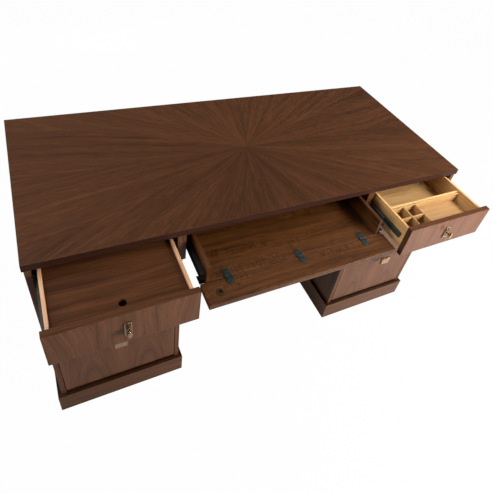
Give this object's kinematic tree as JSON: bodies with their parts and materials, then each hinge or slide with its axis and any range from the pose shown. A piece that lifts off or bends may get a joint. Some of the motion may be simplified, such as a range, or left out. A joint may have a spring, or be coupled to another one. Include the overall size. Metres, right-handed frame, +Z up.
{
  "type": "executive desk",
  "caption": "Executive desk with drawer pedestals, a wide sunburst veneer top, and a pull-out tray with a fold-down front, shown with its shallow drawers and tray part open.",
  "frame": {"origin": "on the floor, under the middle of the box round the whole desk as pictured, with its shallow drawers and tray part open", "axes": "+X to the sitter's right along the top, +Y away from the sitter to the back, +Z up"},
  "size_m": [1.54, 0.9122, 0.776],
  "materials": {
    "top_walnut": "gloss lacquer over sunburst walnut veneer",
    "case_walnut": "satin lacquer over walnut veneer",
    "front_walnut": "gloss lacquer over walnut veneer",
    "inner_walnut": "satin lacquer over walnut veneer",
    "pale_wood": "clear satin lacquer over pale hardwood",
    "dark_steel": "dark plated steel sheet",
    "hinge_bronze": "dark bronze",
    "pull_metal": "satin pewter-coloured plating"
  },
  "bodies": {
    "desk": {"top_panel": "top_walnut", "left_outer_side": "case_walnut", "left_inner_side": "case_walnut", "left_pedestal_back": "case_walnut", "left_pedestal_floor": "case_walnut", "left_plinth": "case_walnut", "right_outer_side": "case_walnut", "right_inner_side": "case_walnut", "right_pedestal_back": "case_walnut", "right_pedestal_floor": "case_walnut", "right_plinth": "case_walnut", "modesty_panel": "case_walnut", "left_tray_hanger": "case_walnut", "right_tray_hanger": "case_walnut", "left_drawer_inner_rail": "dark_steel", "left_drawer_outer_rail": "dark_steel", "right_drawer_inner_rail": "dark_steel", "right_drawer_outer_rail": "dark_steel", "tray_left_rail": "dark_steel", "tray_right_rail": "dark_steel", "left_file_inner_runner": "pale_wood", "left_file_outer_runner": "pale_wood", "right_file_inner_runner": "pale_wood", "right_file_outer_runner": "pale_wood"},
    "left_drawer": {"left_drawer_front": "front_walnut", "left_drawer_box": "pale_wood", "left_drawer_floor": "pale_wood", "left_drawer_pull": "pull_metal", "left_drawer_inner_slide": "dark_steel", "left_drawer_outer_slide": "dark_steel"},
    "left_lid": {"left_drawer_lid": "inner_walnut"},
    "right_drawer": {"right_drawer_front": "front_walnut", "right_drawer_box": "pale_wood", "right_drawer_floor": "pale_wood", "right_drawer_pull": "pull_metal", "right_drawer_partition": "pale_wood", "right_drawer_inner_slide": "dark_steel", "right_drawer_outer_slide": "dark_steel"},
    "pencil_tray": {"pencil_tray": "pale_wood"},
    "tray": {"tray_board": "inner_walnut", "tray_left_side": "inner_walnut", "tray_right_side": "inner_walnut", "tray_back": "inner_walnut", "tray_left_slide": "dark_steel", "tray_right_slide": "dark_steel", "hinge_1_tray_leaf": "hinge_bronze", "hinge_2_tray_leaf": "hinge_bronze", "hinge_3_tray_leaf": "hinge_bronze"},
    "drop_front": {"drop_front": "inner_walnut", "drop_front_catch": "hinge_bronze", "hinge_1_flap_leaf": "hinge_bronze", "hinge_2_flap_leaf": "hinge_bronze", "hinge_3_flap_leaf": "hinge_bronze"},
    "left_file": {"left_file_front": "front_walnut", "left_file_box": "pale_wood", "left_file_pull": "pull_metal"},
    "right_file": {"right_file_front": "front_walnut", "right_file_box": "pale_wood", "right_file_pull": "pull_metal"}
  },
  "joints": [
    {"name": "left_drawer_slide", "type": "slide", "parent": "desk", "child": "left_drawer", "axis": [0, -1, 0], "range_m": [-0.204, 0.136]},
    {"name": "left_lid_lift", "type": "slide", "parent": "left_drawer", "child": "left_lid", "axis": [0, 0, 1], "range_m": [0, 0.024]},
    {"name": "right_drawer_slide", "type": "slide", "parent": "desk", "child": "right_drawer", "axis": [0, -1, 0], "range_m": [-0.204, 0.136]},
    {"name": "pencil_tray_lift", "type": "slide", "parent": "right_drawer", "child": "pencil_tray", "axis": [0, 0, 1], "range_m": [0, 0.024]},
    {"name": "tray_slide", "type": "slide", "parent": "desk", "child": "tray", "axis": [0, -1, 0], "range_m": [-0.1445, 0.15]},
    {"name": "drop_front_hinge", "type": "hinge", "parent": "tray", "child": "drop_front", "pos_m": [0, -0.3489, 0.6715], "axis": [-1, 0, 0], "range_deg": [0, 90]},
    {"name": "left_file_slide", "type": "slide", "parent": "desk", "child": "left_file", "axis": [0, -1, 0], "range_m": [0, 0.34]},
    {"name": "right_file_slide", "type": "slide", "parent": "desk", "child": "right_file", "axis": [0, -1, 0], "range_m": [0, 0.34]}
  ]
}
